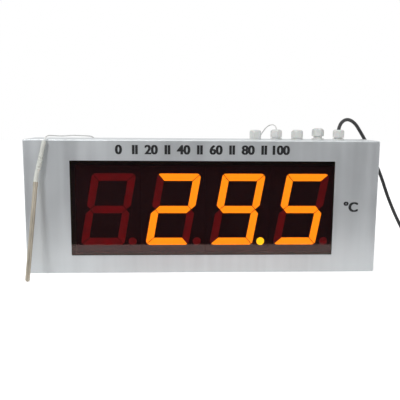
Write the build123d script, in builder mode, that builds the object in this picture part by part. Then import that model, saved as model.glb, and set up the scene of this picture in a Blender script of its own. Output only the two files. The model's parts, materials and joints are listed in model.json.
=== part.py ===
"""Temperature controller with a large four-digit display, in a folded steel case.

Millimetres. The origin is at the middle of the underside of the case: +X to the right as seen from the
front, +Y to the back, +Z up. The front face is at y = -case_depth / 2.
"""

import os
from math import pi, radians, sqrt, tan

from build123d import *

# Case: one folded sheet with a face, four walls and four rear lips
case_width = 490.0
case_height = 186.0
case_depth = 65.0
sheet = 1.2
fold_radius = 1.6
corner_radius = 2.2
lip_width = 12.0
lip_slot = 0.8

# Window and its filter
window_width = 366.0
window_height = 132.5
window_bottom = 25.0
window_radius = 1.0
filter_overlap = 10.0
filter_thickness = 3.0

# Filter clips on welded studs
thread_diameter = 3.0
thread_clearance = 0.4
nut_bore_clearance = 0.2
nut_flats = 5.5
nut_thickness = 2.4
clip_columns = 3
clip_pitch = 120.0
clip_width = 12.0
clip_thickness = 1.0
clip_grip = 4.0
clip_stud_offset = 5.5
clip_leg_gap = 0.5
stud_spare = 1.6

# Display modules: seven slanted bars and a round point in each black housing
digit_count = 4
digit_pitch = 90.0
display_shift = 3.1
module_gap = 0.2
module_height = 122.0
module_depth = 16.0
module_edge = 0.6
module_setback = 1.5
digit_bottom = 38.5
digit_height = 101.6
digit_width = 61.0
bar_width = 11.0
bar_gap = 0.9
bar_clearance = 0.15
bar_depth = 5.0
digit_slant = 10.0
digit_corner = 6.0
point_diameter = 11.0
point_x = 33.2
point_z = -45.4

# Display board and its carriers
board_thickness = 1.6
display_board_width = 402.0
display_board_height = 142.5
display_stud_span = 394.0
display_stud_rise = 96.0
spacer_diameter = 6.0
pin_size = 0.7
pin_clearance = 0.15
pin_columns = 5
pin_pitch = 10.0
pin_row_span = 106.0
pin_spare = 1.0
driver_length = 15.4
driver_width = 7.5
driver_height = 2.5
driver_standing = 0.2
driver_leads = 6
driver_lead_pitch = 2.4
driver_lead_width = 0.8
driver_lead_reach = 1.2
driver_x = (-125.0, -82.0, 60.0, 120.0)

# Rear cover
cover_margin = 1.0
screw_inset = 7.0
side_screw_pitch = 71.0
edge_screw_span = 160.0
screw_head_diameter = 5.6
screw_head_height = 2.0
screw_slot_width = 0.8
screw_slot_depth = 0.9
screw_length = 7.0
clinch_nut_diameter = 6.2
clinch_nut_height = 2.0
keyhole_span = 300.0
keyhole_height = 150.0
keyhole_radius = 4.5
keyhole_slot = 4.6
keyhole_rise = 10.0
vent_count = 14
vent_pitch = 8.0
vent_length = 26.0
vent_width = 3.0
vent_z = (30.0, 152.0)

# Control board, on standoffs from the rear cover
control_board_width = 200.0
control_board_height = 110.0
control_board_x = 10.0
control_board_drop = 13.0
control_board_z = case_height / 2 - control_board_drop
board_screw_inset = 6.0
standoff_length = 8.0
standoff_flats = 6.0
standoff_thread_depth = 7.0
board_screw_length = 6.0

# Parts on the control board, each placed in board coordinates from the board's centre
transformer_place = (60.0, -5.0)
core_width = 40.0
core_height = 33.0
core_stack = 12.0
core_leg = 12.0
core_window_width = 7.2
core_window_height = 20.0
winding_wall = 6.8
winding_clearance = 0.15
winding_depth = 22.0
relay_places = ((-20.0, 21.0), (2.0, 21.0), (24.0, 21.0))
relay_width = 19.0
relay_height = 15.5
relay_depth = 15.6
relay_edge = 0.8
terminal_pitch = 5.08
mains_terminal_inset = 25.0
mains_terminal_place = control_board_width / 2 - mains_terminal_inset
terminal_poles = {"mains": (mains_terminal_place, 3), "outputs": (28.0, 6), "sensor": (-30.0, 3)}
terminal_height = 10.0
terminal_depth = 14.0
terminal_top_gap = 3.0
terminal_wire_hole = 3.2
terminal_screw_hole = 4.2
terminal_screw_diameter = 3.8
terminal_screw_height = 2.0
terminal_hole_depth = 4.0
terminal_wire_back = 4.5
terminal_wire_depth = 2.0
capacitor_sizes = ((25.0, -18.0, 16.0, 22.0), (25.0, -38.0, 12.5, 18.0), (8.0, -6.0, 10.0, 14.0))
capacitor_edge = 1.0
chip_place = (-52.0, -20.0)
chip_length = 52.0
chip_width = 14.0
chip_height = 4.0
chip_standing = 0.5
chip_leads = 12
chip_lead_pitch = 4.0
chip_lead_width = 1.0
chip_lead_reach = 1.0
heat_sink_place = (-5.0, -38.0)
heat_sink_width = 26.0
heat_sink_height = 12.0
heat_sink_depth = 22.0
heat_sink_back = 2.5
heat_sink_fins = 6
fin_thickness = 1.4
regulator_width = 10.4
regulator_height = 4.5
regulator_depth = 15.0
fuse_place = (60.0, 24.0)
fuse_length = 24.0
fuse_width = 9.0
fuse_depth = 10.0
fuse_cap_depth = 2.0

# Ribbon cable between the two boards
ribbon_x = -40.0
ribbon_header_z = 95.0
ribbon_width = 12.7
ribbon_thickness = 0.9
ribbon_rise = 8.0
header_width = 18.0
header_height = 8.5
header_depth = 8.0

# Cable glands, M12 x 1.5, in the top wall
gland_end_room = 50.0
gland_spacing = 30.0
gland_turns_open = (0.0, 0.5, 0.25, 2.0, 0.75)
gland_turned = (12.0, 30.0, 2.0, 47.0, 22.0)
gland_pitch = 1.5
gland_hole_diameter = 12.6
gland_thread_diameter = 12.0
gland_flange_flats = 15.0
gland_flange_height = 2.1
gland_neck_height = 5.6
gland_stem_length = 9.0
gland_bore = 9.0
gland_stem_bore = 7.0
gland_ledge = 1.8
claw_count = 6
claw_slot = 1.2
claw_height = 3.2
claw_taper = 1.0
cap_flats = 15.0
cap_height = 11.2
cap_shoulder = 6.6
cap_top_radius = 5.4
cap_bore = 12.6
cap_bore_height = 7.4
cap_mouth = 8.6
cap_mouth_wall = 1.4
cap_seat_gap = 0.3
locknut_flats = 15.0
locknut_height = 4.6
locknut_clearance = 0.3
seal_clearance = 0.4
seal_seat_gap = 0.2
seal_bore = 6.0
seal_lead_in = 0.5

# Cords: how far the arc at each corner reaches along the shorter of its two runs
cord_bend_share = 0.45

# Tails inside the case: shares of the way from gland to terminal, with the drop below the case's top
tail_start_drop = 14.0
tail_end_rise = 13.0
mains_tail_steps = ((0.1, 27.0), (0.28, 33.5), (0.5, 33.5), (0.72, 29.5), (0.9, 30.0))
sensor_tail_steps = ((0.1, 23.5), (0.25, 30.0), (0.49, 33.5), (0.73, 33.0), (0.9, 30.5))

# Mains cord: a tube from the gland to the table, then the coil of the length that is put away
mains_diameter = 5.0
mains_gland = 4
mains_route = (
    (195.0, 0.0, 202.5),
    (198.7, 2.6, 210.2),
    (205.6, 7.0, 214.9),
    (216.9, 14.5, 215.3),
    (228.8, 22.4, 209.2),
    (239.7, 31.5, 197.5),
    (251.5, 40.5, 182.5),
    (266.0, 47.5, 158.5),
    (282.0, 52.0, 128.5),
    (297.5, 56.5, 95.0),
    (311.5, 60.5, 66.0),
    (324.5, 62.5, 40.0),
    (334.5, 62.3, 20.4),
    (345.6, 61.8, 10.4),
)
coil_centre_x = 400.0
coil_centre_y = 27.0
coil_middle_radius = 27.5
coil_columns = 4
coil_layers = 2
coil_margin = 0.3
coil_edge = 2.0
coil_stub_spare = 3.0
coil_lead_run = 15.0

# Round-pin moulded plug, lying on its back
plug_width = 40.0
plug_length = 42.0
plug_height = 19.0
plug_nose_width = 24.0
plug_shoulder = 13.0
plug_round = 5.0
plug_edge = 2.0
plug_neck_length = 22.0
plug_neck_wide = 11.0
plug_neck_narrow = 7.0
live_pin_setback = 13.0
live_pin_spread = 19.05
earth_pin_offset = 22.2
live_pin_diameter = 5.1
live_pin_length = 14.9
earth_pin_diameter = 7.1
earth_pin_length = 20.6
pin_seat_depth = 4.0
pin_seat_clearance = 0.1
pin_round = 0.8

# Sensor lead: limp, out of the second gland, behind the case and back over its top on the left
lead_diameter = 1.6
lead_gland = 1
lead_end_run = 7.0
lead_route = (
    (105.0, 0.0, 196.0),
    (105.1, 0.3, 203.0),
    (102.0, 2.2, 207.4),
    (96.6, 7.4, 206.7),
    (92.2, 14.5, 202.6),
    (89.0, 23.0, 196.1),
    (86.5, 32.0, 189.6),
    (83.5, 41.0, 181.0),
    (79.5, 42.5, 163.0),
    (70.5, 43.0, 138.0),
    (54.0, 42.5, 112.0),
    (30.0, 43.0, 92.0),
    (0.0, 42.5, 79.5),
    (-34.0, 43.0, 75.5),
    (-67.0, 42.5, 80.5),
    (-96.0, 43.0, 93.0),
    (-120.0, 42.5, 113.5),
    (-137.5, 43.0, 138.5),
    (-148.0, 42.5, 162.0),
    (-154.5, 41.5, 180.5),
    (-160.5, 34.0, 190.5),
    (-169.5, 19.5, 191.7),
    (-184.0, 4.5, 192.8),
    (-196.5, -10.5, 192.9),
    (-206.0, -23.5, 193.6),
)

# Probe: a steel sheath standing on the table, with a strain-relief sleeve bent into its ferrule
probe_top = (-214.7, -36.6, 184.2)
probe_join = (-226.2, -43.5, 129.2)
probe_foot = (-234.2, -72.9, 3.0)
sheath_diameter = 6.0
ferrule_diameter = 6.8
ferrule_length = 6.0
sleeve_diameter = 5.8
sleeve_bend_length = 7.0

# Places worked out from the sizes above
half_width = case_width / 2
front_y = -case_depth / 2
front_inside_y = front_y + sheet
cover_y = case_depth / 2
lip_y = cover_y - sheet
top_inside_z = case_height - sheet
window_z = window_bottom + window_height / 2
filter_width = window_width + 2 * filter_overlap
filter_height = window_height + 2 * filter_overlap
filter_back_y = front_inside_y + filter_thickness
module_front_y = filter_back_y + module_setback
module_back_y = module_front_y + module_depth
display_board_back_y = module_back_y + board_thickness
digit_z = digit_bottom + digit_height / 2
control_board_back_y = lip_y - standoff_length
control_board_front_y = control_board_back_y - board_thickness
thread_hole_radius = (thread_diameter + thread_clearance) / 2
nut_bore_radius = (thread_diameter + nut_bore_clearance) / 2
clip_stud_rise = filter_height + 2 * clip_stud_offset
flange_top_z = case_height + gland_flange_height
neck_top_z = flange_top_z + gland_neck_height
cap_seat_z = flange_top_z + cap_seat_gap
seal_ledge_z = case_height + gland_ledge
seal_bottom_z = seal_ledge_z + seal_seat_gap
claw_top_z = neck_top_z + claw_height
last_gland_x = half_width - gland_end_room
gland_x = [last_gland_x - step * gland_spacing for step in reversed(range(len(gland_turned)))]
terminal_top_z = control_board_z + control_board_height / 2 - terminal_top_gap
coil_outer_turn = coil_middle_radius + (coil_columns - 1) / 2 * mains_diameter
coil_outer_radius = coil_middle_radius + coil_columns / 2 * mains_diameter + coil_margin
coil_inner_side = coil_outer_turn - mains_diameter / 2
coil_stub = sqrt(coil_outer_radius**2 - coil_inner_side**2) + coil_stub_spare
coil_low_z = coil_margin + mains_diameter / 2
coil_high_z = coil_margin + (coil_layers - 0.5) * mains_diameter

BARS = {
    "a": ("level", 1, 1),
    "b": ("upright", 1, 1),
    "c": ("upright", 1, -1),
    "d": ("level", 1, -1),
    "e": ("upright", -1, -1),
    "f": ("upright", -1, 1),
    "g": ("middle", 1, 1),
}
POINT = "p"
LIT_BARS = {1: "", 2: "abged", 3: "abcdfgp", 4: "afgcd"}


def face_plane(y):
    """Sketch plane parallel to the face at depth y: x to the right, z up, extruded towards the front."""
    return Plane.XZ.offset(-y)


def save(builder, name):
    """Label the finished piece and write it to its own file."""
    builder.part.label = name
    export_step(builder.part, f"parts/{name}.step")


def cover_screw_places():
    """Centres of the rear screws: three on each side lip, two on the top and bottom lips."""
    side_x = half_width - screw_inset
    side_z = [case_height / 2 + step * side_screw_pitch for step in (-1, 0, 1)]
    edge_z = (screw_inset, case_height - screw_inset)
    places = [(sign * side_x, z) for sign in (-1, 1) for z in side_z]
    places += [(sign * edge_screw_span / 2, z) for sign in (-1, 1) for z in edge_z]
    return places


def board_screw_places():
    """Centres of the four control board screws."""
    across = control_board_width / 2 - board_screw_inset
    upward = control_board_height / 2 - board_screw_inset
    return [
        (control_board_x + sx * across, control_board_z + sz * upward) for sx in (-1, 1) for sz in (-1, 1)
    ]


def on_board(place):
    """A place on the control board, given from its centre, as x and z of the case."""
    return (control_board_x + place[0], control_board_z + place[1])


def digit_x(number):
    """Middle of one display module, counted from 1 at the left."""
    return display_shift + (number - (digit_count + 1) / 2) * digit_pitch


def slanted(points, mirror_u, mirror_v):
    """Mirror an upright outline and lean it over by the slant of the digit."""
    lean = tan(radians(digit_slant))
    return [(mirror_u * u + mirror_v * v * lean, mirror_v * v) for u, v in points]


def bar_outline(kind):
    """Outline of one bar in the upright digit, out to the middle of its gaps."""
    outer_u = digit_width / 2
    outer_v = digit_height / 2
    inner_u = outer_u - bar_width
    inner_v = outer_v - bar_width
    half_bar = bar_width / 2
    if kind == "level":
        return [(-outer_u, outer_v), (outer_u, outer_v), (inner_u, inner_v), (-inner_u, inner_v)]
    if kind == "upright":
        return [
            (outer_u, outer_v),
            (outer_u, half_bar),
            (outer_u - half_bar, 0),
            (inner_u, half_bar),
            (inner_u, inner_v),
        ]
    return [
        (half_bar - outer_u, 0),
        (-inner_u, half_bar),
        (inner_u, half_bar),
        (outer_u - half_bar, 0),
        (inner_u, -half_bar),
        (-inner_u, -half_bar),
    ]


def digit_outline():
    """The whole slanted digit with its rounded outer corners."""
    outer_u = digit_width / 2
    outer_v = digit_height / 2
    corners = [(-outer_u, -outer_v), (outer_u, -outer_v), (outer_u, outer_v), (-outer_u, outer_v)]
    with BuildSketch() as outline:
        Polygon(*slanted(corners, 1, 1), align=None)
        fillet(outline.vertices(), digit_corner)
    return outline.sketch


def bar_sketch(letter, outline, growth):
    """One bar, or the point, around the origin; growth widens it on every side for its pocket."""
    with BuildSketch() as bar:
        if letter == POINT:
            with Locations((point_x, point_z)):
                Circle(point_diameter / 2 + growth)
        else:
            kind, mirror_u, mirror_v = BARS[letter]
            Polygon(*slanted(bar_outline(kind), mirror_u, mirror_v), align=None)
            add(outline, mode=Mode.INTERSECT)
            offset(amount=growth - bar_gap / 2, kind=Kind.INTERSECTION)
    return bar.sketch


def module_sketch(number, letters, outline, growth, y):
    """The named bars of one module on a plane parallel to the face at depth y."""
    with BuildSketch(face_plane(y)) as bars:
        with Locations((digit_x(number), digit_z)):
            for letter in letters:
                add(bar_sketch(letter, outline, growth))
    return bars.sketch


def corner_radii(points):
    """Radius of the arc at each corner of a cord's route: as large as its two runs allow."""
    radii = []
    for before, corner, after in zip(points, points[1:], points[2:]):
        arriving = Vector(*corner) - Vector(*before)
        leaving = Vector(*after) - Vector(*corner)
        half_turn = radians(arriving.get_angle(leaving)) / 2
        radii.append(cord_bend_share * min(arriving.length, leaving.length) / tan(half_turn))
    return radii


def cord_tube(name, points, diameter):
    """A round cord along straight runs joined by tangent arcs; prints its length and tightest bend."""
    radii = corner_radii(points)
    with BuildPart() as tube:
        with BuildLine() as route:
            FilletPolyline(*points, radius=radii)
        with BuildSketch(Plane(origin=route.line @ 0, z_dir=route.line % 0)):
            Circle(diameter / 2)
        sweep()
    length = sum(edge.length for edge in route.edges())
    fill = tube.part.volume / (pi * diameter**2 / 4 * length)
    print(f"{name}: length {length:.1f}, volume ratio {fill:.4f}")
    print(f"{name}: radii {' '.join(f'{radius:.1f}' for radius in radii)}")
    return tube


def leaded_chip(length, width, height, standing, leads, lead_pitch, lead_width, lead_reach):
    """A chip lying on the XZ plane, its leads down both long sides, rising towards the front."""
    with BuildPart() as chip:
        with BuildSketch(Plane.XZ.offset(standing)):
            Rectangle(length, width)
        extrude(amount=height)
        chamfer(chip.faces().sort_by(Axis.Y)[0].edges(), height / 8)
        with BuildSketch(Plane.XZ):
            for side in (-1, 1):
                with Locations((0, side * (width + lead_reach) / 2)):
                    with GridLocations(lead_pitch, 1, leads, 1):
                        Rectangle(lead_width, lead_reach)
        extrude(amount=standing + height / 2)
    return chip


def build_case():
    inner_corner = corner_radius - sheet
    with BuildPart() as case:
        with BuildSketch(face_plane(lip_y)):
            with Locations((0, case_height / 2)):
                RectangleRounded(case_width, case_height, corner_radius)
        extrude(amount=lip_y - front_y)
        fillet(case.faces().sort_by(Axis.Y)[0].edges(), fold_radius)

        # Hollow between the face and the lips
        with BuildSketch(face_plane(lip_y - sheet)):
            with Locations((0, case_height / 2)):
                RectangleRounded(case_width - 2 * sheet, case_height - 2 * sheet, inner_corner)
        extrude(amount=lip_y - sheet - front_inside_y, mode=Mode.SUBTRACT)

        # Rear opening, with a mitre slot where two lips meet
        with BuildSketch(face_plane(lip_y)):
            with Locations((0, case_height / 2)):
                Rectangle(case_width - 2 * lip_width, case_height - 2 * lip_width)
            mitre = sqrt(2) * (lip_width - sheet) + lip_slot
            lip_middle = (lip_width + sheet) / 2
            for sx in (-1, 1):
                for sz in (-1, 1):
                    across = sx * (half_width - lip_middle)
                    upward = case_height / 2 + sz * (case_height / 2 - lip_middle)
                    with Locations((across, upward)):
                        Rectangle(mitre, lip_slot, rotation=45 * sx * sz)
            with Locations(*cover_screw_places()):
                Circle(thread_hole_radius)
        extrude(amount=sheet, mode=Mode.SUBTRACT)

        # Window in the face
        with BuildSketch(face_plane(front_inside_y)):
            with Locations((0, window_z)):
                RectangleRounded(window_width, window_height, window_radius)
        extrude(amount=sheet, mode=Mode.SUBTRACT)

        # Gland holes in the top wall
        with BuildSketch(Plane.XY.offset(top_inside_z)):
            with Locations(*[(x, 0) for x in gland_x]):
                Circle(gland_hole_diameter / 2)
        extrude(amount=sheet, mode=Mode.SUBTRACT)
    save(case, "front_case")


def build_studs():
    """Threaded studs welded to the inside of the face: six for the filter clips, four for the board."""
    clip_stud = filter_back_y + clip_thickness + nut_thickness + stud_spare - front_inside_y
    display_stud = display_board_back_y + nut_thickness + stud_spare - front_inside_y
    with BuildPart() as studs:
        with BuildSketch(face_plane(front_inside_y)):
            with Locations((0, window_z)):
                with GridLocations(clip_pitch, clip_stud_rise, clip_columns, 2):
                    Circle(thread_diameter / 2)
        extrude(amount=-clip_stud)
        with BuildSketch(face_plane(front_inside_y)):
            with Locations((0, digit_z)):
                with GridLocations(display_stud_span, display_stud_rise, 2, 2):
                    Circle(thread_diameter / 2)
        extrude(amount=-display_stud)
    save(studs, "weld_studs")

    with BuildPart() as nuts:
        with BuildSketch(face_plane(filter_back_y + clip_thickness)):
            with Locations((0, window_z)):
                with GridLocations(clip_pitch, clip_stud_rise, clip_columns, 2):
                    RegularPolygon(nut_flats / 2, 6, major_radius=False)
                    Circle(nut_bore_radius, mode=Mode.SUBTRACT)
        extrude(amount=-nut_thickness)
        with BuildSketch(face_plane(display_board_back_y)):
            with Locations((0, digit_z)):
                with GridLocations(display_stud_span, display_stud_rise, 2, 2):
                    RegularPolygon(nut_flats / 2, 6, major_radius=False)
                    Circle(nut_bore_radius, mode=Mode.SUBTRACT)
        extrude(amount=-nut_thickness)
    save(nuts, "stud_nuts")


def build_filter():
    with BuildPart() as filter_sheet:
        with BuildSketch(face_plane(filter_back_y)):
            with Locations((0, window_z)):
                Rectangle(filter_width, filter_height)
        extrude(amount=filter_thickness)
        chamfer(filter_sheet.edges().filter_by(Axis.Y), fold_radius)
    save(filter_sheet, "window_filter")


def build_clips():
    """Bent clips: a leg on the face, past the filter's edge, and a tongue on the filter's back."""
    tongue_y = filter_back_y + clip_thickness
    inner = filter_height / 2 - clip_grip
    leg = filter_height / 2 + clip_stud_offset + nut_flats / 2 + clip_leg_gap
    outer = leg + clip_thickness
    with BuildPart() as clips:
        for side in (-1, 1):
            with BuildSketch(face_plane(tongue_y)):
                with Locations((0, window_z + side * (inner + outer) / 2)):
                    with GridLocations(clip_pitch, 1, clip_columns, 1):
                        Rectangle(clip_width, outer - inner)
                with Locations((0, window_z + side * clip_stud_rise / 2)):
                    with GridLocations(clip_pitch, 1, clip_columns, 1):
                        Circle(thread_hole_radius, mode=Mode.SUBTRACT)
            extrude(amount=clip_thickness)
            with BuildSketch(face_plane(tongue_y)):
                with Locations((0, window_z + side * (leg + outer) / 2)):
                    with GridLocations(clip_pitch, 1, clip_columns, 1):
                        Rectangle(clip_width, clip_thickness)
            extrude(amount=tongue_y - front_inside_y)
    save(clips, "filter_clips")


def build_modules():
    outline = digit_outline()
    all_bars = "".join(BARS) + POINT
    floor_y = module_front_y + bar_depth
    for number in range(1, digit_count + 1):
        with BuildPart() as housing:
            with BuildSketch(face_plane(module_back_y)):
                with Locations((digit_x(number), digit_z)):
                    Rectangle(digit_pitch - module_gap, module_height)
            extrude(amount=module_depth)
            chamfer(housing.faces().sort_by(Axis.Y)[0].edges(), module_edge)
            pockets = module_sketch(number, all_bars, outline, bar_clearance, floor_y)
            extrude(pockets, amount=bar_depth, mode=Mode.SUBTRACT)
        save(housing, f"digit_{number}_housing")

        lit_bars = LIT_BARS[number]
        dim_bars = "".join(letter for letter in all_bars if letter not in lit_bars)
        for state, letters in (("lit", lit_bars), ("dim", dim_bars)):
            if letters:
                with BuildPart() as bars:
                    extrude(module_sketch(number, letters, outline, 0, floor_y), amount=bar_depth)
                save(bars, f"digit_{number}_{state}")


def build_display_board():
    with BuildPart() as board:
        with BuildSketch(face_plane(display_board_back_y)):
            with Locations((0, digit_z)):
                Rectangle(display_board_width, display_board_height)
                with GridLocations(display_stud_span, display_stud_rise, 2, 2):
                    Circle(thread_hole_radius, mode=Mode.SUBTRACT)
            with Locations(*[(digit_x(number), digit_z) for number in range(1, digit_count + 1)]):
                with GridLocations(pin_pitch, pin_row_span, pin_columns, 2):
                    Rectangle(pin_size + 2 * pin_clearance, pin_size + 2 * pin_clearance, mode=Mode.SUBTRACT)
        extrude(amount=board_thickness)
    save(board, "display_board")

    with BuildPart() as pins:
        with BuildSketch(face_plane(module_back_y)):
            with Locations(*[(digit_x(number), digit_z) for number in range(1, digit_count + 1)]):
                with GridLocations(pin_pitch, pin_row_span, pin_columns, 2):
                    Rectangle(pin_size, pin_size)
        extrude(amount=-(board_thickness + pin_spare))
    save(pins, "display_pins")

    with BuildPart() as spacers:
        with BuildSketch(face_plane(module_back_y)):
            with Locations((0, digit_z)):
                with GridLocations(display_stud_span, display_stud_rise, 2, 2):
                    Circle(spacer_diameter / 2)
                    Circle(thread_hole_radius, mode=Mode.SUBTRACT)
        extrude(amount=module_back_y - front_inside_y)
    save(spacers, "display_spacers")

    driver = leaded_chip(
        driver_length, driver_width, driver_height, driver_standing, driver_leads, driver_lead_pitch,
        driver_lead_width, driver_lead_reach,
    )
    turned = [Location((x, display_board_back_y, digit_z), (0, 0, 180)) for x in driver_x]
    with BuildPart() as drivers:
        with Locations(*turned):
            add(driver.part)
    save(drivers, "display_drivers")


def build_rear_cover():
    with BuildPart() as cover:
        with BuildSketch(face_plane(cover_y)):
            with Locations((0, case_height / 2)):
                RectangleRounded(case_width - 2 * cover_margin, case_height - 2 * cover_margin, corner_radius)
            with Locations(*cover_screw_places()):
                Circle(thread_hole_radius, mode=Mode.SUBTRACT)
            for side in (-1, 1):
                with Locations((side * keyhole_span / 2, keyhole_height)):
                    Circle(keyhole_radius, mode=Mode.SUBTRACT)
                with Locations((side * keyhole_span / 2, keyhole_height + keyhole_rise / 2)):
                    SlotCenterToCenter(keyhole_rise, keyhole_slot, rotation=90, mode=Mode.SUBTRACT)
            for z in vent_z:
                with Locations((0, z)):
                    with GridLocations(vent_pitch, 1, vent_count, 1):
                        SlotOverall(vent_length, vent_width, rotation=90, mode=Mode.SUBTRACT)
        extrude(amount=sheet)
    save(cover, "rear_cover")

    with BuildPart() as screw:
        with BuildSketch(Plane.XZ):
            Circle(thread_diameter / 2)
        extrude(amount=screw_length)
        with BuildSketch(Plane.XZ):
            Circle(screw_head_diameter / 2)
        extrude(amount=-screw_head_height)
        fillet(screw.faces().sort_by(Axis.Y)[-1].edges(), screw_head_height / 2)
        with BuildSketch(Plane.XZ.offset(-screw_head_height)):
            Rectangle(screw_head_diameter, screw_slot_width)
        extrude(amount=screw_slot_depth, mode=Mode.SUBTRACT)
    with BuildPart() as screws:
        with Locations(*[(x, cover_y, z) for x, z in cover_screw_places()]):
            add(screw.part)
    save(screws, "cover_screws")

    with BuildPart() as nuts:
        with BuildSketch(face_plane(lip_y - sheet)):
            with Locations(*cover_screw_places()):
                Circle(clinch_nut_diameter / 2)
                Circle(nut_bore_radius, mode=Mode.SUBTRACT)
        extrude(amount=clinch_nut_height)
    save(nuts, "clinch_nuts")


def build_control_board():
    with BuildPart() as board:
        with BuildSketch(face_plane(control_board_back_y)):
            with Locations((control_board_x, control_board_z)):
                Rectangle(control_board_width, control_board_height)
            with Locations(*board_screw_places()):
                Circle(thread_hole_radius, mode=Mode.SUBTRACT)
        extrude(amount=board_thickness)
    save(board, "control_board")

    with BuildPart() as standoffs:
        with BuildSketch(face_plane(lip_y)):
            with Locations(*board_screw_places()):
                RegularPolygon(standoff_flats / 2, 6, major_radius=False)
        extrude(amount=standoff_length)
        with BuildSketch(face_plane(control_board_back_y)):
            with Locations(*board_screw_places()):
                Circle(nut_bore_radius)
        extrude(amount=-standoff_thread_depth, mode=Mode.SUBTRACT)
    save(standoffs, "board_standoffs")

    with BuildPart() as screw:
        with BuildSketch(Plane.XZ):
            Circle(thread_diameter / 2)
        extrude(amount=-board_screw_length)
        with BuildSketch(Plane.XZ):
            Circle(screw_head_diameter / 2)
        extrude(amount=screw_head_height)
        fillet(screw.faces().sort_by(Axis.Y)[0].edges(), screw_head_height / 2)
    with BuildPart() as screws:
        with Locations(*[(x, control_board_front_y, z) for x, z in board_screw_places()]):
            add(screw.part)
    save(screws, "board_screws")


def build_transformer():
    centre = on_board(transformer_place)
    winding_back_y = control_board_front_y
    core_back_y = winding_back_y - (winding_depth - core_stack) / 2
    window_offset = (core_leg + core_window_width) / 2
    with BuildPart() as core:
        with BuildSketch(face_plane(core_back_y)):
            with Locations(centre):
                Rectangle(core_width, core_height)
                with GridLocations(2 * window_offset, 1, 2, 1):
                    Rectangle(core_window_width, core_window_height, mode=Mode.SUBTRACT)
        extrude(amount=core_stack)
    save(core, "transformer_core")

    hole = core_leg + 2 * winding_clearance
    with BuildPart() as winding:
        with BuildSketch(Plane.XY.offset(centre[1])):
            with Locations((centre[0], winding_back_y - winding_depth / 2)):
                RectangleRounded(core_leg + 2 * winding_wall, winding_depth, winding_wall / 3)
                Rectangle(hole, core_stack + 2 * winding_clearance, mode=Mode.SUBTRACT)
        extrude(amount=core_window_height / 2 - winding_clearance, both=True)
    save(winding, "transformer_winding")


def build_relays():
    with BuildPart() as relays:
        with BuildSketch(face_plane(control_board_front_y)):
            with Locations(*[on_board(place) for place in relay_places]):
                Rectangle(relay_width, relay_height)
        extrude(amount=relay_depth)
        chamfer(relays.edges().group_by(Axis.Y)[0], relay_edge)
        chamfer(relays.edges().filter_by(Axis.Y), relay_edge)
    save(relays, "relays")


def build_terminals():
    """Terminal blocks along the board's upper edge: wires enter from above, screws face the front."""
    front_y_of_block = control_board_front_y - terminal_depth
    middle_z = terminal_top_z - terminal_height / 2
    poles = []
    for place, count in terminal_poles.values():
        first = control_board_x + place - (count - 1) / 2 * terminal_pitch
        poles += [first + step * terminal_pitch for step in range(count)]
    with BuildPart() as blocks:
        with BuildSketch(face_plane(control_board_front_y)):
            for place, count in terminal_poles.values():
                with Locations((control_board_x + place, middle_z)):
                    Rectangle(count * terminal_pitch, terminal_height)
        extrude(amount=terminal_depth)
        with BuildSketch(face_plane(front_y_of_block)):
            with Locations(*[(x, middle_z) for x in poles]):
                Circle(terminal_screw_hole / 2)
        extrude(amount=-terminal_hole_depth, mode=Mode.SUBTRACT)
        with BuildSketch(Plane.XY.offset(terminal_top_z)):
            with Locations(*[(x, control_board_front_y - terminal_wire_back) for x in poles]):
                Rectangle(terminal_wire_hole, terminal_wire_hole)
        extrude(amount=-terminal_wire_depth, mode=Mode.SUBTRACT)
    save(blocks, "terminal_blocks")

    screw_floor_y = front_y_of_block + terminal_hole_depth
    with BuildPart() as screws:
        with BuildSketch(face_plane(screw_floor_y)):
            with Locations(*[(x, middle_z) for x in poles]):
                Circle(terminal_screw_diameter / 2)
        extrude(amount=terminal_screw_height)
        with BuildSketch(face_plane(screw_floor_y - terminal_screw_height)):
            with Locations(*[(x, middle_z) for x in poles]):
                Rectangle(terminal_screw_diameter, screw_slot_width)
        extrude(amount=-screw_slot_depth, mode=Mode.SUBTRACT)
    save(screws, "terminal_screws")


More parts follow.
